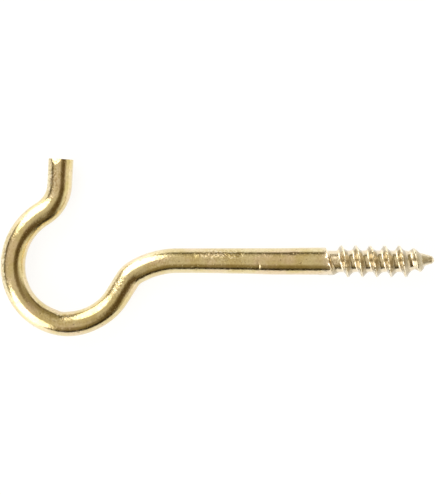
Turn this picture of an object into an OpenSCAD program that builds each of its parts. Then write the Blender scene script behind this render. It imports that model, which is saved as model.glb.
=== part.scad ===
// Round screw hook: one piece of round wire with a rolled wood-screw thread and a gimlet
// point at one end, cranked and bent into an open bowl with an upright tip at the other.
//
// The screw runs along X with its point towards +X. The plain shank ends at the origin, on
// its own centreline, and the thread begins there. The hook lies flat in the XY plane, and
// its tip points towards +Y.

/* [Wire] */
// Diameter of the bent wire, from the crank to the tip
wire_d = 3.5; // [3:0.1:3.7]
// Diameter of the shank where the thread begins
shank_d = 3.8; // [3.6:0.1:4]
// Straight length from the thread to the crank
shank_len = 19.7; // [10:0.1:40]

/* [Crank and neck] */
// Centreline radius of the crank's first, gentle bend
crank_r = 11; // [8:0.5:15]
// Turn of the gentle bend
crank_angle = 31.5; // [20:0.1:40]
// Centreline radius of the crank's second, tight bend
elbow_r = 3.1; // [2.5:0.1:5]
// Turn of the tight bend
elbow_angle = 26.7; // [20:0.1:40]
// Straight length between the crank and the bowl
neck_len = 2.8; // [1:0.1:6]

/* [Bowl and tip] */
// Centreline radius of the bowl on the side of the shank
bowl_r = 7.75; // [7:0.05:9]
// Turn of the bowl on the side of the shank
bowl_angle = 122.3; // [100:0.1:130]
// Centreline radius of the bowl on the side of the tip
cheek_r = 8.4; // [7:0.1:10]
// Turn of the bowl on the side of the tip
cheek_angle = 84.8; // [70:0.1:100]
// Centreline radius of the bend that turns the tip upright
tip_r = 5; // [4:0.1:8]
// Turn of the tip's bend
tip_angle = 55.6; // [40:0.1:70]
// Straight length of the tip
tip_len = 3.6; // [2:0.1:8]
// How far the facet left by the shears reaches down the tip
shear_len = 0.7; // [0.3:0.1:1.5]

/* [Thread] */
// Outer diameter of the thread
thread_d = 4.5; // [4.2:0.1:4.7]
// Core diameter of the thread
core_d = 3.1; // [3:0.1:3.3]
// Distance from one crest to the next
pitch = 2; // [1.8:0.1:2.4]
// Lean of a ridge's steep flank, on the side of the shank
back_angle = 27; // [20:1:30]
// Lean of a ridge's gentle flank, on the side of the point
front_angle = 40; // [30:1:42]
// Width of the flat on top of a ridge
crest_w = 0.18; // [0.1:0.02:0.26]
// Length from the start of the thread to the end of the point
screw_len = 15.9; // [14:0.1:25]

/* [Point] */
// Full angle of the core's cone
point_angle = 36; // [30:1:45]
// Full angle of the cone that trims the ridges
trim_angle = 56; // [48:1:60]
// Radius of the point's blunt end
nose_r = 0.28; // [0.2:0.02:0.4]

/* [Quality] */
// Sides of the wire, and steps of the thread's helix in each turn
sides = 40; // [24:4:48]
// The most that the wire turns between two of its rings
ring_turn = 6; // [5:1:12]

/* [Hidden] */

brass = "#c8aa64";

// Tilt of the shears' facet against the wire, its place round the wire, and the steps in
// which it is cut
shear_tilt = 12;
shear_at = 115;
shear_steps = 3;

// The thread's profile from one crest to the next, as places along the screw and shares
// of the ridge's height. Each flank ends in a fillet of two short chords. The profile goes
// down a ridge's gentle flank and up the steep flank of the next ridge.
ridge_h = (thread_d - core_d) / 2;
foot_share = 0.3;
toe_share = 0.08;
toe_len = 0.14;
function flank(run) = [
    [crest_w / 2, 1],
    [crest_w / 2 + (1 - foot_share) * run, foot_share],
    [crest_w / 2 + run, toe_share],
    [crest_w / 2 + run + toe_len, 0]
];
FRONT = flank(ridge_h * tan(front_angle));
BACK = flank(ridge_h * tan(back_angle));
PROFILE = concat(FRONT, [for (k = [len(BACK) - 1:-1:0]) [pitch - BACK[k].x, BACK[k].y]]);
rows = len(PROFILE);

// The groove and the ridge grow out of the shank within these shares of a turn, and the
// ridge fades into the point within the last one
groove_in = 0.5;
ridge_in = 0.65;
ridge_out = 0.4;

// The nose is half a ball on the end of the core's cone. The cone that trims the ridges
// ends wider than the nose by trim_gap.
nose_x = screw_len - nose_r;
nose_rings = 4;
trim_gap = 0.22;

// The helix takes the whole steps that leave this share of a pitch before the nose
last_gap = 0.15;
steps = floor((nose_x / pitch - 1 - last_gap) * sides);

function smooth(share) = let (s = max(0, min(1, share))) s * s * (3 - 2 * s);
function mix(a, b, share) = a + (b - a) * share;
function cone_r(x, end_r, angle) = end_r + (nose_x - x) * tan(angle / 2);

// Radius of the groove's floor and of the ridge's crest at a turn of the helix
function floor_r(turn, x) = mix(
    shank_d / 2,
    min(core_d / 2, cone_r(x, nose_r, point_angle)),
    smooth(turn / groove_in)
);
function crest_r(turn, x) = mix(
    shank_d / 2,
    min(thread_d / 2, cone_r(x, nose_r + trim_gap, trim_angle)),
    smooth(turn / ridge_in)
);

// The wire's route from the shank to the tip, as stretches of [length, turn]. The crank
// turns to the left, seen from the thread, and the bowl to the right.
function arc(radius, angle) = [radius * abs(angle) * PI / 180, angle];
ROUTE = [
    [shank_len, 0],
    arc(crank_r, crank_angle),
    arc(elbow_r, elbow_angle),
    [neck_len, 0],
    arc(bowl_r, -bowl_angle),
    arc(cheek_r, -cheek_angle),
    arc(tip_r, tip_angle),
    [tip_len - shear_len, 0],
    for (k = [1:shear_steps]) [shear_len / shear_steps, 0]
];
STRIDES = [for (s = ROUTE) let (n = max(1, ceil(abs(s[1]) / ring_turn))) for (k = [1:n]) s / n];

// The stations between the strides, as [x, y, heading], from the thread to the tip
function ahead(at, stride) = let (
    half = stride[1] / 2,
    chord = stride[0] * (half == 0 ? 1 : sin(half) / (half * PI / 180)),
    course = at[2] + half
) [at[0] + chord * cos(course), at[1] + chord * sin(course), at[2] + stride[1]];
function walk(at, k = 0) =
    k == len(STRIDES) ? [at] : [at, each walk(ahead(at, STRIDES[k]), k + 1)];
STATIONS = walk([0, 0, 180]);
last_station = len(STATIONS) - 1;

// Radius of the wire at station k and an angle round it. The facet takes a chord off the
// section, which is deepest at the end.
function wire_r(k, angle) = let (
    r = (k == 0 ? shank_d : wire_d) / 2,
    share = max(0, 1 - (last_station - k) / shear_steps),
    flat = r - share * shear_len * tan(shear_tilt)
) min(r, flat / max(0.1, cos(angle - shear_at)));

// Points of the wire's rings and of the screw's surface. Both count their steps round the
// wire from the side away from the hook's tip.
function around(step) = 180 + 360 * step / sides;
function on_wire(k, i) = let (
    at = STATIONS[k],
    angle = around(i),
    r = wire_r(k, angle),
    out = r * cos(angle)
) [at[0] + out * sin(at[2]), at[1] - out * cos(at[2]), r * sin(angle)];
function on_screw(step, x, r) = [x, r * cos(around(step)), r * sin(around(step))];

// Lattice point of the thread: step i counts round the helix and row j along PROFILE. The
// first half of the rows belongs to the ridge of the turn before.
function lattice(i, j) = let (
    turn = i / sides,
    x = turn * pitch + PROFILE[j].x,
    ridge_turn = j < rows / 2 ? turn - 1 : turn,
    fade = 1 - smooth((ridge_turn - steps / sides) / ridge_out + 1)
) on_screw(i, x, mix(floor_r(turn, x), crest_r(ridge_turn, x), PROFILE[j].y * fade));

// The hook as one closed solid: the wire's rings from the thread to the tip, then the
// helical lattice, in which the row after the last is the first row one turn later, and
// the rings of the nose with its end.
module screw_hook() {
    wire = [for (k = [0:last_station], i = [0:sides - 1]) on_wire(k, i)];
    wall = [for (i = [0:steps], j = [0:rows - 1]) lattice(i, j)];
    last_row = [for (i = [steps + 1:steps + sides]) lattice(i, 0)];
    nose = [for (k = [0:nose_rings - 1], i = [0:sides - 1])
        let (rise = 90 * k / nose_rings)
        on_screw(steps + i, nose_x + nose_r * sin(rise), nose_r * cos(rise))];
    points = concat(wire, wall, last_row, nose, [[screw_len, 0, 0]]);

    wall_at = len(wire);
    last_row_at = wall_at + len(wall);
    nose_at = last_row_at + len(last_row);
    end_at = nose_at + len(nose);
    function wire_i(k, i) = k * sides + i % sides;
    function nose_i(k, i) = nose_at + k * sides + i % sides;
    function wall_i(i, j) =
        j == rows ? wall_i(i + sides, 0)
        : i > steps ? last_row_at + i - steps - 1
        : wall_at + i * rows + j;

    // Two triangles between neighbouring steps, given the two points of each step
    function split(a0, a1, b0, b1) = [[a0, a1, b0], [b0, a1, b1]];

    first_turn = sides - 1;
    tip_end = [for (i = [0:sides - 1]) wire_i(last_station, i)];
    wire_faces = [for (k = [0:last_station - 1], i = [0:sides - 1])
        each split(wire_i(k + 1, i), wire_i(k, i), wire_i(k + 1, i + 1), wire_i(k, i + 1))];
    thread_start = concat(
        [for (i = [0:first_turn - 1])
            each split(wire_i(0, i), wall_i(i, 0), wire_i(0, i + 1), wall_i(i + 1, 0))],
        split(wire_i(0, first_turn), wall_i(first_turn, 0), wire_i(0, 0), wall_i(0, 0)),
        [for (j = [0:rows - 1])
            [wall_i(0, j), wall_i(first_turn, 0), wall_i(0, j + 1)]]
    );
    thread_faces = [for (i = [0:steps - 1], j = [0:rows - 1])
        each split(wall_i(i, j), wall_i(i, j + 1), wall_i(i + 1, j), wall_i(i + 1, j + 1))];
    thread_end = concat(
        [for (j = [0:rows - 1])
            [wall_i(steps, j), wall_i(steps, j + 1), wall_i(steps + 1, 0)]],
        split(wall_i(steps, rows), nose_i(0, 0), wall_i(steps + 1, 0), nose_i(0, 1)),
        [for (i = [1:first_turn])
            each split(wall_i(steps + i, 0), nose_i(0, i), wall_i(steps + i + 1, 0), nose_i(0, i + 1))]
    );
    nose_faces = concat(
        [for (k = [0:nose_rings - 2], i = [0:sides - 1])
            each split(nose_i(k, i), nose_i(k + 1, i), nose_i(k, i + 1), nose_i(k + 1, i + 1))],
        [for (i = [0:sides - 1])
            [nose_i(nose_rings - 1, i), end_at, nose_i(nose_rings - 1, i + 1)]]
    );
    color(brass) polyhedron(
        points,
        concat([tip_end], wire_faces, thread_start, thread_faces, thread_end, nose_faces)
    );
}

screw_hook();
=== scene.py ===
"""The looks of a round screw hook, which lies flat and is seen from above.

The hook is one mesh: rings swept along the bent wire, then a helical lattice for the rolled
thread and its gimlet point. Sizes are in millimetres up to the mesh's last step, in the
frame of the CAD part: +X along the screw, +Y to the side of the hook's tip, +Z up.
"""

import math

import bpy
import numpy as np
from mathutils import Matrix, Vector, noise


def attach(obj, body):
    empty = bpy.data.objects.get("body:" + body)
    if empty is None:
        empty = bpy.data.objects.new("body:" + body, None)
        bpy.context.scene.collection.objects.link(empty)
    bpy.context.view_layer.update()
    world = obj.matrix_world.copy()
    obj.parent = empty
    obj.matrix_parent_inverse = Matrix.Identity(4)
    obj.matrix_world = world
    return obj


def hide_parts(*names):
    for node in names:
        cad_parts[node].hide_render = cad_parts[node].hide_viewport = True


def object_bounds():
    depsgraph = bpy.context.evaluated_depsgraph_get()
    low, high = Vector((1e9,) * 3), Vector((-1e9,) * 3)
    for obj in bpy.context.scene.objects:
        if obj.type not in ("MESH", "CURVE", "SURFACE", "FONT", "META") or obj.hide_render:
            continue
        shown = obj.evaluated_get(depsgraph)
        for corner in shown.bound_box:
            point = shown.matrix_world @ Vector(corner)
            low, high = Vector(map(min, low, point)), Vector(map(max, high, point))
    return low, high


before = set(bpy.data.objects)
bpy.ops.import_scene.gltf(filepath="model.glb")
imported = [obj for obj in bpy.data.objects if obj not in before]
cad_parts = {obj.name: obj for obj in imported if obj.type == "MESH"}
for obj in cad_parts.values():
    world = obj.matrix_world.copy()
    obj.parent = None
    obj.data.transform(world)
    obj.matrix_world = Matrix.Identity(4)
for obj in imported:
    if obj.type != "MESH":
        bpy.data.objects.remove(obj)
cad_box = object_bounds()

MM = 0.001

# The wire, as in the CAD part
SHANK_LEN = 19.7
CRANK_R, CRANK_ANGLE = 11, 31.5
ELBOW_R, ELBOW_ANGLE = 3.1, 26.7
NECK_LEN = 2.8
BOWL_R, BOWL_ANGLE = 7.75, 122.3
CHEEK_R, CHEEK_ANGLE = 8.4, 84.8
TIP_R, TIP_ANGLE = 5, 55.6
TIP_LEN = 3.6

# Diameter of the drawn and bent wire, and how far the hand-bent wire strays from its plan
# towards the tip's side, both at equal steps from the thread to the tip
WIRE_DS = [3.8, 3.72, 3.58, 3.46, 3.48, 3.5, 3.46, 3.5, 3.46, 3.5, 3.5, 3.48, 3.5]
STRAYS = [0.02, 0, 0.06, 0.1, 0.08, 0.12, 0.16, 0, -0.04, -0.08, -0.06, -0.06, -0.08]

# The sheared end: how far its facet reaches down the tip, its tilt, its place round the
# wire, and the least cosine to that place at which the facet's chord is worked out
SHEAR_LEN, SHEAR_TILT, SHEAR_AT = 0.85, 13, 115
LEAST_FACING = 0.1

# The screw, as in the CAD part but for its crests, which are lower to leave room for lumps
SHANK_D, CORE_D, THREAD_D = 3.8, 3.1, 4.44
PITCH = 2
SCREW_LEN = 15.9

# The turns that the helix takes, and the one at which its ridge has faded into the point
TURNS, RIDGE_END = 7.5, 6.45

# Turns within which the groove and the ridge come out of the shank, and the ridge fades
GROOVE_IN, RIDGE_IN, RIDGE_OUT = 0.5, 0.5, 0.4

# The rolled ridge: its crest's width, and each flank's length along the screw and hollow
CREST_W = 0.2
BACK_RUN, BACK_HOLLOW = 0.62, 1.9
FRONT_RUN, FRONT_HOLLOW = 0.9, 2.1

# Radius of the crest at the turns on which it is trimmed to the point, the share of its
# front flank's length that is left there, and how far its hollow flanks are filled out, in
# front and at the back
LAST_TURNS = [4.95, 5.5, 6.0, 6.5]
LAST_RS = [2.22, 1.78, 1.58, 0.8]
LAST_RUN = 0.8
FILLED_FRONT, FILLED_BACK = 0.22, 0.55

# The shank ends in a raised lip, which is pulled back from the helix and steeper in front.
# It gives way to the ridge, and its steep flank to the ridge's, within these turns.
LIP_H, LIP_BACK, LIP_STEEP = 0.15, 0.28, 0.5
LIP_OUT, STEEP_OUT = 1 / 4, 1 / 3

# How the rows behind the lip crowd towards it, and how late they rise to it, as powers
ROOT_CROWD, ROOT_CURL = 1.5, 4

# Unevenness of the rolled crests: the most loss of height and sway along the screw, how long
# each goes on along the ridge, and the turns within which it starts. It calms down within
# CALM_IN turns of the first trimmed crest.
LOSS_H, LOSS_LEN, LOSS_IN = 0.07, 0.8, 0.25
SWAY, SWAY_LEN, SWAY_IN = 0.07, 0.9, 0.5
CALM_IN = 0.8

# The seam along the crests: its depth, how long it stays open or closed, the noise at which
# it is closed and open, and the turns between which it starts
SEAM_H, SEAM_LEN = 0.09, 0.55
SEAM_CLOSED, SEAM_OPEN = -0.375, 0.25
SEAM_FROM, SEAM_TO = -0.8, -0.3

# Seeds of the three kinds of unevenness
LOSS_SEED, SWAY_SEED, SEAM_SEED = 5, 11, 8

# The core tapers to a neck and a blunt nose: places along the screw, and its radius there
CORE_XS = [12, 13.2, 14.2, 14.8, 15.3]
CORE_RS = [1.5, 1.2, 0.95, 0.75, 0.58]
NOSE_X, NOSE_R = CORE_XS[-1], CORE_RS[-1]

# How far round the nose goes before the nib, in degrees
NOSE_TURN = 80

# The point is bent towards the tip's side, from one place along the screw to another
POINT_LIFT, LIFT_FROM, LIFT_TO = 0.2, 12.2, 15.2

# The nib on the nose, where the blank broke off: its place, and the radii of its rings
NIB_Y = -0.02
NIB_RS = [0.14, 0.1, 0.07]

# The mesh's steps: sides of the wire, spacing of its rings, rows from the shank to the
# helix, rows on each part of a ridge, rings of the nose, and steps of the helix
SIDES = 144
RING_GAP = 0.18
ROOT_ROWS = 10
CREST_ROWS, FLANK_ROWS, FLOOR_ROWS = 5, 11, 6
NOSE_RINGS = 8
STEPS = int(TURNS * SIDES)

# Faces that meet at more than this angle, in degrees, have a sharp edge between them
SHARP_ANGLE = 52


def ease(value, start=0, end=1):
    """0 to 1 with level ends, as value goes from start to end."""
    share = np.clip((value - start) / (end - start), 0, 1)
    return share * share * (3 - 2 * share)


def mix(a, b, share):
    return a + (b - a) * share


def spread(values, share):
    """The value at a share of the way along equally spaced values, on a smooth curve."""
    at = np.clip(share, 0, 1) * (len(values) - 1)
    low = np.minimum(at.astype(int), len(values) - 2)
    values = np.array(values)
    return mix(values[low], values[low + 1], ease(at - low))


def around(steps):
    """Angles round the wire, counted from the side away from the hook's tip."""
    return math.pi + 2 * math.pi * steps / SIDES


# ---- the wire ----

def arc(radius, angle):
    """A bend's length, and its turn in radians."""
    return radius * math.radians(abs(angle)), math.radians(angle)


def route():
    """Places, headings and distances of the wire's rings, from the thread to the tip."""
    stretches = [
        (SHANK_LEN, 0),
        arc(CRANK_R, CRANK_ANGLE),
        arc(ELBOW_R, ELBOW_ANGLE),
        (NECK_LEN, 0),
        arc(BOWL_R, -BOWL_ANGLE),
        arc(CHEEK_R, -CHEEK_ANGLE),
        arc(TIP_R, TIP_ANGLE),
        (TIP_LEN, 0),
    ]
    place, heading, gone = np.zeros(2), math.pi, 0.0
    places, headings, gones = [], [], []
    for length, turn in stretches:
        strides = math.ceil(length / RING_GAP)
        stride, veer = length / strides, turn / strides
        chord = stride * (math.sin(veer / 2) / (veer / 2) if veer else 1)
        for _ in range(strides):
            course = heading + veer / 2
            place = place + chord * np.array([math.cos(course), math.sin(course)])
            heading, gone = heading + veer, gone + stride
            places.append(place)
            headings.append(heading)
            gones.append(gone)
    return np.array(places), np.array(headings), np.array(gones)


def sheared(radius, angle, to_end):
    """Radius of the wire with the shears' facet, a chord that is deepest at the end."""
    depth = np.maximum(0, SHEAR_LEN - to_end) * math.tan(math.radians(SHEAR_TILT))
    facing = np.cos(angle - math.radians(SHEAR_AT))
    chord = (radius - depth) / np.maximum(LEAST_FACING, facing)
    return np.where(depth > 0, np.minimum(radius, chord), radius)


def wire_rings():
    """Points of the wire's rings, and the same points on the wire before it was bent."""
    places, headings, gone = route()
    share = gone / gone[-1]
    angle = around(np.arange(SIDES))[None, :]
    to_end = (gone[-1] - gone)[:, None]
    radius = sheared(spread(WIRE_DS, share)[:, None] / 2, angle, to_end)
    out, up = radius * np.cos(angle), radius * np.sin(angle)
    right = np.stack([np.sin(headings), -np.cos(headings)], axis=1)
    centre = places + spread(STRAYS, share)[:, None] * right
    points = np.empty((len(gone), SIDES, 3))
    points[..., :2] = centre[:, None, :] + out[..., None] * right[:, None, :]
    points[..., 2] = up
    straight = np.stack([out, up, np.repeat(-gone[:, None], SIDES, axis=1)], axis=2)
    return points, straight


# ---- the thread ----

def floor_r(turn, x):
    """Radius of the groove's floor, which is the core's."""
    core = np.minimum(CORE_D / 2, np.interp(x, CORE_XS, CORE_RS))
    return mix(SHANK_D / 2, core, ease(turn, 0, GROOVE_IN))


def crest_r(turn):
    """Radius of the ridge's crest, and before its first turn, of the shank's lip."""
    crest = np.minimum(THREAD_D / 2, np.interp(turn, LAST_TURNS, LAST_RS))
    lip = LIP_H * ease(turn, -1, 0) * ease(turn, 0, -LIP_OUT)
    return mix(SHANK_D / 2, crest, ease(turn, 0, RIDGE_IN)) + lip


def ridge_profile():
    """Places along the screw and shares of the ridge's height, from one crest's middle to
    just before the next, and the depth of the seam along the crest. Both flanks are
    hollow, and the back one is steeper."""
    top = np.linspace(0, CREST_W / 2, CREST_ROWS)
    down = np.linspace(0, 1, FLANK_ROWS)[1:]
    front = CREST_W / 2 + FRONT_RUN * down
    back = PITCH - CREST_W / 2 - BACK_RUN * down[::-1]
    floor = np.linspace(front[-1], back[0], FLOOR_ROWS + 2)[1:-1]
    x = np.concatenate([top, front, floor, back, PITCH - top[:0:-1]])
    share = np.concatenate([
        np.ones(CREST_ROWS),
        (1 - down) ** FRONT_HOLLOW,
        np.zeros(FLOOR_ROWS),
        (1 - down[::-1]) ** BACK_HOLLOW,
        np.ones(CREST_ROWS - 1),
    ])
    seam = ease(np.minimum(x, PITCH - x), CREST_W / 2, 0)
    return x, share, seam


def unevenness(length, seed):
    """Noise from -1 to 1 at each step along the ridge, from a turn before the helix."""
    way = np.arange(-SIDES, STEPS + 1) * math.pi * THREAD_D / SIDES / length
    return np.array([noise.noise(Vector((w, seed, 0))) for w in way])


def on_screw(step, x, r):
    """Points of the screw, whose gimlet point is bent a little to the tip's side."""
    angle = around(step)
    lift = POINT_LIFT * ease(x, LIFT_FROM, LIFT_TO)
    return np.stack([x + 0 * angle, r * np.cos(angle) + lift, r * np.sin(angle)], axis=-1)


def thread_lattice():
    """Points of the helical lattice, which counts steps round the helix and rows along the
    ridge's profile, and how far up the ridge each is: from 0 to 1 on the back flank and to
    -1 on the front."""
    offset, share, seam = ridge_profile()
    step = np.arange(STEPS + 1)[:, None]
    turn = step / SIDES
    # the first half of the rows belongs to the ridge of the turn before
    ahead = np.arange(len(offset))[None, :] < len(offset) / 2
    ridge_turn = turn - ahead
    ridge_step = step + SIDES - SIDES * ahead
    early = ease(ridge_turn, 0, -STEEP_OUT) * ahead
    late = ease(ridge_turn, LAST_TURNS[0], LAST_TURNS[0] + 1)
    calm = 1 - ease(ridge_turn, LAST_TURNS[0], LAST_TURNS[0] + CALM_IN)
    fade = ease(ridge_turn, RIDGE_END, RIDGE_END - RIDGE_OUT)

    # places along the screw: the lip's flank is short, and the last turn ends at the nose
    room = np.where(turn > TURNS - 1, NOSE_X - turn * PITCH, PITCH)
    squeeze = np.minimum(1, room / PITCH)
    front = offset * mix(1, LIP_STEEP, early) * mix(1, LAST_RUN, late) * squeeze
    front -= LIP_BACK * early * ease(turn, 0, STEEP_OUT)
    middle = offset[ahead[0]][-1]
    behind = mix(middle * squeeze, room, (offset - middle) / (PITCH - middle))
    share = share ** mix(1, np.where(ahead, FILLED_FRONT, FILLED_BACK), late)
    sway = SWAY * unevenness(SWAY_LEN, SWAY_SEED)[ridge_step] * calm * ease(turn, 0, SWAY_IN)
    x = turn * PITCH + np.where(ahead, front, behind) + sway * share

    # radii, with the loss of height and the seam
    loss = LOSS_H * np.abs(unevenness(LOSS_LEN, LOSS_SEED)[ridge_step]) * calm
    crest = crest_r(ridge_turn) - loss * ease(turn, 0, LOSS_IN)
    radius = mix(floor_r(turn, x), crest, share * fade)
    opening = ease(unevenness(SEAM_LEN, SEAM_SEED)[ridge_step], SEAM_CLOSED, SEAM_OPEN)
    radius -= SEAM_H * seam * opening * calm * ease(ridge_turn, SEAM_FROM, SEAM_TO)

    climb = np.where(ahead, -share, share) * fade * ease(ridge_turn, -LIP_OUT, 0)
    return on_screw(step, x, radius), climb


def root_rows(last_ring, first_turn):
    """Rows that lead from the wire's last ring to the helix's first turn, and rise to the
    lip."""
    share = (np.arange(1, ROOT_ROWS) / ROOT_ROWS)[:, None, None]
    rows = mix(last_ring, first_turn, 1 - (1 - share) ** ROOT_CROWD)
    level = np.hypot(last_ring[:, 1], last_ring[:, 2])[None, :]
    rise = np.hypot(first_turn[:, 1], first_turn[:, 2])[None, :]
    wanted = mix(level, rise, share[..., 0] ** ROOT_CURL)
    scale = wanted / np.hypot(rows[..., 1], rows[..., 2])
    rows[..., 1:] *= scale[..., None]
    return rows


def nose():
    """The rings of the nose, a round end on the core's neck, and of the nib on it."""
    rise = np.linspace(0, math.radians(NOSE_TURN), NOSE_RINGS)[:, None]
    steps = np.arange(SIDES)[None, :]
    ball = on_screw(steps, NOSE_X + NOSE_R * np.sin(rise), NOSE_R * np.cos(rise))
    nib_x = np.linspace(NOSE_X + NOSE_R, SCREW_LEN, len(NIB_RS))[:, None]
    nib = on_screw(steps, nib_x, np.array(NIB_RS)[:, None])
    nib[..., 1] += NIB_Y - POINT_LIFT
    return np.concatenate([ball, nib])


# ---- the mesh ----

def strip(lower, upper):
    """Quads between two rows of point numbers that run on past each other's last."""
    return list(zip(lower[:-1], lower[1:], upper[1:], upper[:-1]))


def closed(ring):
    """A ring's point numbers with the first one again at the end."""
    return np.append(ring, ring[0])


def hook_mesh():
    """Points, faces and unbent points of the whole hook, in millimetres, and how far up
    the thread's ridge each point is."""
    rings, straight = wire_rings()
    rings, straight = rings[::-1], straight[::-1]
    wall, wall_climb = thread_lattice()
    root = root_rows(rings[-1], wall[:SIDES, 0])
    nose_rings = nose()
    end = np.array([[SCREW_LEN, NIB_Y, 0]])
    parts = [rings, root, wall, nose_rings, end]
    points = np.concatenate([p.reshape(-1, 3) for p in parts])
    screw = points[rings.size // 3:]
    unbent = np.concatenate([straight.reshape(-1, 3), screw[:, [1, 2, 0]]])

    starts = np.cumsum([0] + [p.size // 3 for p in parts])
    numbers = [np.arange(a, b) for a, b in zip(starts[:-1], starts[1:])]
    ring_at = np.concatenate([numbers[0], numbers[1]]).reshape(-1, SIDES)
    wall_at = numbers[2].reshape(wall.shape[:2])
    nose_at = numbers[3].reshape(-1, SIDES)
    point = numbers[4][0]
    climb = np.zeros(len(points))
    climb[numbers[2]] = wall_climb.ravel()

    faces = [list(ring_at[0][::-1])]
    for low, high in zip(ring_at[:-1], ring_at[1:]):
        faces += strip(closed(low), closed(high))
    # from the shank to the helix's first turn
    faces += strip(closed(ring_at[-1]), closed(wall_at[:SIDES, 0]))
    before = wall_at[SIDES - 1, 0]
    # the helical lattice, in which the row after the last is the first one a turn later,
    # and in the last turn the nose's first ring
    last_turn = nose_at[0][np.arange(STEPS - SIDES + 1, STEPS + 1) % SIDES]
    lattice = np.column_stack([wall_at, np.concatenate([wall_at[SIDES:, 0], last_turn])])
    for j in range(lattice.shape[1] - 1):
        faces += strip(lattice[:, j], lattice[:, j + 1])
    start, finish = lattice[0], lattice[STEPS]
    after = nose_at[0][(STEPS + 1) % SIDES]
    faces += [(start[j], start[j + 1], before) for j in range(len(start) - 1)]
    faces += [(finish[j + 1], finish[j], after) for j in range(len(finish) - 1)]
    for low, high in zip(nose_at[:-1], nose_at[1:]):
        faces += strip(closed(low), closed(high))
    last = closed(nose_at[-1])
    faces += [(last[i], last[i + 1], point) for i in range(SIDES)]
    return points, [tuple(int(n) for n in f) for f in faces], unbent, climb


# Waves left by drawing and bending the wire, which are twice as long along it, and lumps on
# the rolled thread: height and length of each, and the lumps' fractal increment, lacunarity
# and octaves
WAVE_H, WAVE_LEN, WAVE_STRETCH = 0.012, 2.5, 2
LUMP_H, LUMP_LEN = 0.02, 0.6
LUMP_FRACTAL = 0.9, 2, 3

# Single nicks, and scuffed patches, as (distance from the thread, angle round the wire, spread
# along and round the wire, and depth or amount). A distance below 0 is on the screw. Angles
# count in degrees from the right of the wire's way to the tip, and 90 is on top. The spread
# round the wire is in radians.
NICKS = [
    (8.4, 122, 0.12, 0.45, 0.08),
    (5.4, 126, 0.12, 0.35, 0.04),
    (17.0, 133, 0.14, 0.3, 0.06),
    (12.6, 80, 0.3, 0.2, 0.03),
    (15.2, 95, 0.22, 0.25, 0.03),
    (10.9, 62, 0.35, 0.18, 0.03),
    (17.3, 70, 0.3, 0.2, 0.03),
    (3.6, 55, 0.5, 0.12, 0.02),
    (39.3, 12, 0.9, 1.1, 0.12),
]
SCUFFS = [
    (-15.3, 90, 0.5, 1.2, 1.0),
    (-2.6, 90, 0.9, 1.0, 0.9),
    (13.5, 60, 3.0, 0.6, 0.9),
    (22.0, 80, 2.0, 1.0, 0.5),
    (28.5, 60, 2.5, 0.7, 0.9),
    (39.5, 60, 3.0, 0.7, 0.6),
    (50.5, 150, 5.0, 0.6, 0.8),
    (64.5, 135, 3.0, 0.8, 1.0),
]


def patch(unbent, gone, at, length, width):
    """A soft round patch on the wire, from 0 to 1 in its middle."""
    angle = np.arctan2(unbent[:, 1], unbent[:, 0])
    away = np.abs((angle - math.radians(at) + math.pi) % (2 * math.pi) - math.pi)
    return np.exp(-((unbent[:, 2] + gone) / length) ** 2 - (away / width) ** 2)


def relief(unbent):
    """How far each point of the skin stands out, by its place on the unbent wire."""
    height = np.empty(len(unbent))
    for i, (out, up, along) in enumerate(unbent):
        wave = noise.noise(Vector((out, up, along / WAVE_STRETCH)) / WAVE_LEN)
        lump = noise.fractal(Vector((out, up, along)) / LUMP_LEN, *LUMP_FRACTAL)
        on_thread = min(1, max(0, along / PITCH))
        height[i] = mix(wave * WAVE_H, lump * LUMP_H, on_thread)
    for *place, depth in NICKS:
        height -= depth * patch(unbent, *place)
    return height


def scuffs(unbent):
    """How scuffed each point of the skin is, from 0 to 1."""
    amount = np.zeros(len(unbent))
    for *place, most in SCUFFS:
        amount = np.maximum(amount, most * patch(unbent, *place))
    return amount


def make_hook():
    """The hook's object, whose mesh carries what the material reads at each point."""
    points, faces, unbent, climb = hook_mesh()
    mesh = bpy.data.meshes.new("hook_wire")
    mesh.from_pydata(points.tolist(), [], faces)
    mesh.update()
    normals = np.empty(len(points) * 3, np.float32)
    mesh.vertex_normals.foreach_get("vector", normals)
    points = points + relief(unbent)[:, None] * normals.reshape(-1, 3)
    low, high = (np.array(corner) / MM for corner in cad_box)
    points = np.clip(points, low, high) * MM
    mesh.vertices.foreach_set("co", points.astype(np.float32).ravel())
    attribute = mesh.attributes.new("unbent", "FLOAT_VECTOR", "POINT")
    attribute.data.foreach_set("vector", (unbent * MM).astype(np.float32).ravel())
    for name, values in (("climb", climb), ("scuffed", scuffs(unbent))):
        attribute = mesh.attributes.new(name, "FLOAT", "POINT")
        attribute.data.foreach_set("value", values.astype(np.float32))
    mesh.shade_smooth()
    mesh.set_sharp_from_angle(angle=math.radians(SHARP_ANGLE))
    mesh.update()
    hook = bpy.data.objects.new("hook_wire", mesh)
    bpy.context.scene.collection.objects.link(hook)
    return hook


# ---- materials ----

# Roughness of every grain's noise
GRAIN_ROUGHNESS = 0.55


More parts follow.
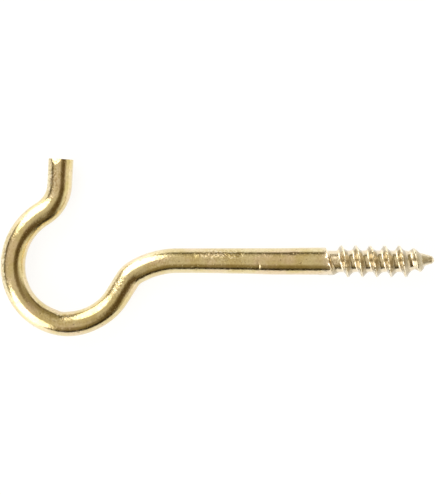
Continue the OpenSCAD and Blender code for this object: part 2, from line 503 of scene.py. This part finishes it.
class Nodes:
    """Short calls that add nodes to a material's or the world's tree."""

    def __init__(self, owner):
        owner.use_nodes = True
        self.tree = owner.node_tree
        self.tree.nodes.clear()

    def fill(self, socket, value):
        """Links another node's socket to this one, or sets this one to a plain value."""
        if isinstance(value, bpy.types.NodeSocket):
            self.tree.links.new(value, socket)
        else:
            socket.default_value = value

    def add(self, kind, inputs=(), **settings):
        node = self.tree.nodes.new("ShaderNode" + kind)
        for name, value in settings.items():
            setattr(node, name, value)
        for name, value in dict(inputs).items():
            self.fill(node.inputs[name], value)
        return node

    def maths(self, operation, a, b=0.0):
        return self.add("Math", {0: a, 1: b}, operation=operation).outputs[0]

    def times(self, a, b):
        return self.maths("MULTIPLY", a, b)

    def total(self, first, *terms):
        """The first value plus the terms, each of which is a value and its weight."""
        for value, weight in terms:
            first = self.maths("ADD", first, self.times(value, weight))
        return first

    def ramp(self, value, low, high, to_low=0.0, to_high=1.0):
        """value carried from low..high to to_low..to_high, with soft ends."""
        inputs = {"Value": value, "From Min": low, "From Max": high,
                  "To Min": to_low, "To Max": to_high}
        node = self.add("MapRange", inputs, interpolation_type="SMOOTHSTEP")
        return node.outputs["Result"]

    def blend(self, share, a, b):
        """A colour between a and b."""
        return self.add("Mix", {0: share, 6: a, 7: b}, data_type="RGBA").outputs[2]

    def grain(self, place, size, detail, slim):
        """Noise of a size in metres, drawn out along the third axis by a slim under 1."""
        scaled = self.add("Mapping", {"Vector": place, "Scale": (1, 1, slim)})
        inputs = {"Vector": scaled.outputs[0], "Scale": 1 / size,
                  "Detail": detail, "Roughness": GRAIN_ROUGHNESS}
        return self.add("TexNoise", inputs).outputs[0]


BRASS = (0.80, 0.68, 0.38, 1)
BRASS_DEEP = (0.72, 0.58, 0.26, 1)
BRASS_ROSY = (0.82, 0.64, 0.42, 1)
BRASS_PALE = (0.89, 0.765, 0.575, 1)
BRASS_WORN = (0.93, 0.84, 0.62, 1)
# Dull brown painted shade, laid on the thread's flanks
BRASS_PAINTED_SHADE = (0.36, 0.29, 0.16, 1)
PIT_BROWN = (0.36, 0.25, 0.09, 1)

# Grains of the skin, as (size in metres, detail, slim)
CLOUD = 0.0028, 4, 1
ROSE = 0.0021, 3, 0.6
MOTTLE = 0.0005, 3, 1
DRAW_LINES = 0.00012, 2, 0.03
GRIT = 0.00022, 2, 1
PITS = 0.00035, 1, 1
SPECKS = 0.0003, 2, 1
SCRATCHES = 0.00022, 1, 0.12

# Lean of the crossing scratches to either side, in radians
SCRATCH_LEAN = 0.7

# Where parts of the skin begin and are reached in full: the thread and the point, in metres
# along the screw, and the crest, the front flank and the back flank, in climb
ON_THREAD = -0.0002, 0.0012
ON_POINT = 0.0128, 0.0142
ON_CREST = 0.8, 1.0
ON_FRONT = -0.02, -0.2
ON_BACK = 0.12, 0.35

# Height of the skin's grains in metres, for a weight of 1
BUMP_H = 0.000006

# Lacquer over the brass
LACQUER, LACQUER_ROUGHNESS, LACQUER_IOR = 1.0, 0.12, 1.5


def brassed_wire():
    """Thin lacquered brass plating on drawn steel wire: fine draw lines, pits, scuffed
    stretches and cloudy changes of hue, paler on the thread, worn on its crest and frosty
    on the point. Painted shade darkens the thread's flanks to a dull brown."""
    material = bpy.data.materials.new("brassed_wire")
    n = Nodes(material)
    place = n.add("Attribute", attribute_name="unbent").outputs["Vector"]
    climb = n.add("Attribute", attribute_name="climb").outputs["Fac"]
    scuffed = n.add("Attribute", attribute_name="scuffed").outputs["Fac"]
    along = n.add("SeparateXYZ", {0: place}).outputs[2]
    on_thread = n.ramp(along, *ON_THREAD)
    on_point = n.ramp(along, *ON_POINT)
    on_crest = n.ramp(n.maths("ABSOLUTE", climb), *ON_CREST)
    on_front = n.maths("SUBTRACT", n.ramp(climb, *ON_FRONT), on_crest)
    on_back = n.maths("SUBTRACT", n.ramp(climb, *ON_BACK), on_crest)

    cloud = n.grain(place, *CLOUD)
    rose = n.grain(place, *ROSE)
    mottle = n.grain(place, *MOTTLE)
    draw_lines = n.grain(place, *DRAW_LINES)
    grit = n.grain(place, *GRIT)
    pits = n.ramp(n.grain(place, *PITS), 0.66, 0.76)
    specks = n.grain(place, *SPECKS)
    leaning = [n.add("VectorRotate", {"Vector": place, "Angle": angle},
                     rotation_type="Y_AXIS").outputs[0]
               for angle in (SCRATCH_LEAN, -SCRATCH_LEAN)]
    scratches = n.maths("ADD", *[n.grain(axes, *SCRATCHES) for axes in leaning])

    # how much of each tint lies over the ones before it
    layers = [
        (n.ramp(cloud, 0.38, 0.62), BRASS_DEEP),
        (n.ramp(rose, 0.45, 0.65, 0, 0.8), BRASS_ROSY),
        (n.ramp(mottle, 0.5, 0.8, 0, 0.4), BRASS_DEEP),
        (n.times(on_thread, 0.7), BRASS_PALE),
        # painted shade: the thread's front and back flanks are darkened to a dull brown
        (n.times(on_front, 0.65), BRASS_PAINTED_SHADE),
        (n.times(on_back, 0.7), BRASS_PAINTED_SHADE),
        (n.times(on_crest, 0.6), BRASS_WORN),
        (n.times(on_point, 0.5), BRASS_WORN),
        (n.times(n.ramp(specks, 0.5, 0.62), n.ramp(scuffed, 0, 1, 0.1, 0.6)), PIT_BROWN),
        (n.times(n.ramp(specks, 0.5, 0.38), n.ramp(scuffed, 0, 1, 0.1, 0.7)), BRASS_WORN),
        (n.times(pits, 0.6), PIT_BROWN),
    ]
    colour = BRASS
    for share, tint in layers:
        colour = n.blend(share, colour, tint)

    # roughness and height, each a first value and then grains with their weights
    rough = n.total(
        n.ramp(mottle, 0.3, 0.7, 0.13, 0.22),
        (on_thread, 0.06),
        (on_front, 0.15),
        (on_point, 0.22),
        (pits, 0.2),
    )
    height = n.total(
        n.times(draw_lines, 0.3),
        (grit, n.ramp(scuffed, 0, 1, 1.5, 5.0)),
        (scratches, n.ramp(scuffed, 0, 1, 0, 3.5)),
        (mottle, 2.0),
        (pits, -1.2),
    )
    bump = n.add("Bump", {"Height": height, "Strength": 1.0, "Distance": BUMP_H})

    shader = n.add("BsdfPrincipled", {
        "Base Color": colour,
        "Metallic": 1.0,
        "Roughness": rough,
        "Normal": bump.outputs[0],
        "Coat Weight": LACQUER,
        "Coat Roughness": LACQUER_ROUGHNESS,
        "Coat IOR": LACQUER_IOR,
    })
    n.add("OutputMaterial", {"Surface": shader.outputs[0]})
    return material


TABLE_COLOUR = (0.22, 0.22, 0.22, 1)
TABLE_ROUGHNESS = 0.35
TABLE_WHITE = (1, 1, 1, 1)
TABLE_GLOW = 0.87


def white_table():
    """A table that is white to the camera and in reflections, over a lit grey that takes
    the hook's shadow."""
    material = bpy.data.materials.new("white_table")
    n = Nodes(material)
    path = n.add("LightPath").outputs
    seen = n.maths("MAXIMUM", path["Is Camera Ray"], path["Is Glossy Ray"])
    seen = n.maths("MAXIMUM", seen, path["Is Transmission Ray"])
    shader = n.add("BsdfPrincipled", {
        "Base Color": TABLE_COLOUR,
        "Roughness": TABLE_ROUGHNESS,
        "Emission Color": TABLE_WHITE,
        "Emission Strength": n.times(seen, TABLE_GLOW),
    })
    n.add("OutputMaterial", {"Surface": shader.outputs[0]})
    return material


# ---- the studio ----

# A round table top with an upright rim, which hides the room from a level camera, in metres
FLOOR_R, RIM_H = 2.2, 0.16
RIM_SIDES = 96

# Oval softboxes as (azimuth, elevation, distance, width, height, radiance), in metres.
# Azimuths count from +X towards +Y.
SOFTBOXES = [
    (125, 30, 0.9, 0.72, 1.1, 2.3),
    (225, 28, 0.9, 0.72, 1.06, 2.3),
]

# The room behind them: its colours at the horizon and overhead, how far up the second one is
# reached, and soft round patches as (azimuth, elevation, radius that is full, radius where it
# ends, colour)
ROOM_LOW = (0.34, 0.31, 0.23, 1)
ROOM_HIGH = (0.69, 0.625, 0.49, 1)
ROOM_TOP = 0.75
PATCHES = [
    (50, 25, 20, 46, (0.34, 0.29, 0.16, 1)),
    (355, 63, 12, 28, (0.22, 0.165, 0.075, 1)),
    (333, 58, 9, 22, (0.12, 0.08, 0.03, 1)),
    (314, 40, 9, 24, (0.12, 0.08, 0.03, 1)),
    (268, 32, 10, 34, (0.28, 0.22, 0.10, 1)),
    (352, 6, 18, 36, (0.96, 0.92, 0.75, 1)),
    (52, 0, 14, 30, (0.17, 0.13, 0.06, 1)),
    (172, 2, 12, 30, (0.11, 0.085, 0.04, 1)),
    (297, 13, 12, 24, (0.05, 0.035, 0.014, 1)),
    (270, 10, 12, 22, (0.05, 0.04, 0.018, 1)),
    (86, 20, 4, 11, (0.08, 0.06, 0.03, 1)),
]


def toward(azimuth, elevation):
    a, e = math.radians(azimuth), math.radians(elevation)
    return Vector((math.cos(a) * math.cos(e), math.sin(a) * math.cos(e), math.sin(e)))


def make_floor():
    z = cad_box[0].z
    turns = [2 * math.pi * i / RIM_SIDES for i in range(RIM_SIDES)]
    ring = [(FLOOR_R * math.cos(t), FLOOR_R * math.sin(t)) for t in turns]
    points = [(x, y, z) for x, y in ring] + [(x, y, z + RIM_H) for x, y in ring]
    nexts = [(i + 1) % RIM_SIDES for i in range(RIM_SIDES)]
    rim = [(i, i + RIM_SIDES, j + RIM_SIDES, j) for i, j in enumerate(nexts)]
    mesh = bpy.data.meshes.new("floor")
    mesh.from_pydata(points, [], [tuple(range(RIM_SIDES))] + rim)
    floor = bpy.data.objects.new("floor", mesh)
    floor.data.materials.append(white_table())
    bpy.context.scene.collection.objects.link(floor)


def make_softboxes(centre):
    for i, (azimuth, elevation, distance, width, height, radiance) in enumerate(SOFTBOXES):
        lamp = bpy.data.lights.new(f"softbox_{i}", "AREA")
        lamp.shape = "ELLIPSE"
        lamp.size, lamp.size_y = width, height
        # power is pi times the radiance and the oval's area
        lamp.energy = radiance * math.pi * math.pi / 4 * width * height
        box = bpy.data.objects.new(f"softbox_{i}", lamp)
        away = toward(azimuth, elevation)
        box.location = centre + away * distance
        box.rotation_euler = away.to_track_quat("Z", "Y").to_euler()
        bpy.context.scene.collection.objects.link(box)


def make_world():
    """The room, as the metal mirrors it. The floor's rim hides it from a level camera."""
    world = bpy.data.worlds.new("studio")
    bpy.context.scene.world = world
    n = Nodes(world)
    direction = n.add("TexCoord").outputs["Generated"]
    up = n.add("SeparateXYZ", {0: direction}).outputs[2]
    colour = n.blend(n.ramp(up, 0, ROOM_TOP), ROOM_LOW, ROOM_HIGH)
    for azimuth, elevation, full, end, tint in PATCHES:
        facing = n.add("VectorMath", {0: direction, 1: toward(azimuth, elevation)},
                       operation="DOT_PRODUCT").outputs["Value"]
        share = n.ramp(facing, math.cos(math.radians(end)), math.cos(math.radians(full)))
        colour = n.blend(share, colour, tint)
    room = n.add("Background", {"Color": colour})
    n.add("OutputWorld", {"Surface": room.outputs[0]})


# The photograph's frame: its size, the pixel at the part's origin, and its scale
FRAME_W, FRAME_H = 435, 495
ORIGIN_PX = (319.3, 261.3)
MM_PER_PX = 0.1384

# The camera: its height and the distances it sees between, in metres, and the sensor's
# height in millimetres
CAMERA_HEIGHT = 0.7
CLIP_START, CLIP_END = 0.01, 10
SENSOR = 36


def make_camera():
    """A long lens that looks straight down."""
    data = bpy.data.cameras.new("camera")
    data.sensor_width = SENSOR
    data.lens = SENSOR * CAMERA_HEIGHT / (FRAME_H * MM_PER_PX * MM)
    data.clip_start, data.clip_end = CLIP_START, CLIP_END
    camera = bpy.data.objects.new("camera", data)
    x = (FRAME_W / 2 - ORIGIN_PX[0]) * MM_PER_PX * MM
    y = (ORIGIN_PX[1] - FRAME_H / 2) * MM_PER_PX * MM
    camera.location = (x, y, CAMERA_HEIGHT)
    bpy.context.scene.collection.objects.link(camera)
    bpy.context.scene.camera = camera
    return Vector((x, y, 0))


hook = make_hook()
hook.data.materials.append(brassed_wire())
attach(hook, "root")
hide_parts("screw_hook")

make_floor()
view_centre = make_camera()
make_softboxes(view_centre)
make_world()
bpy.context.scene.view_settings.view_transform = "Standard"
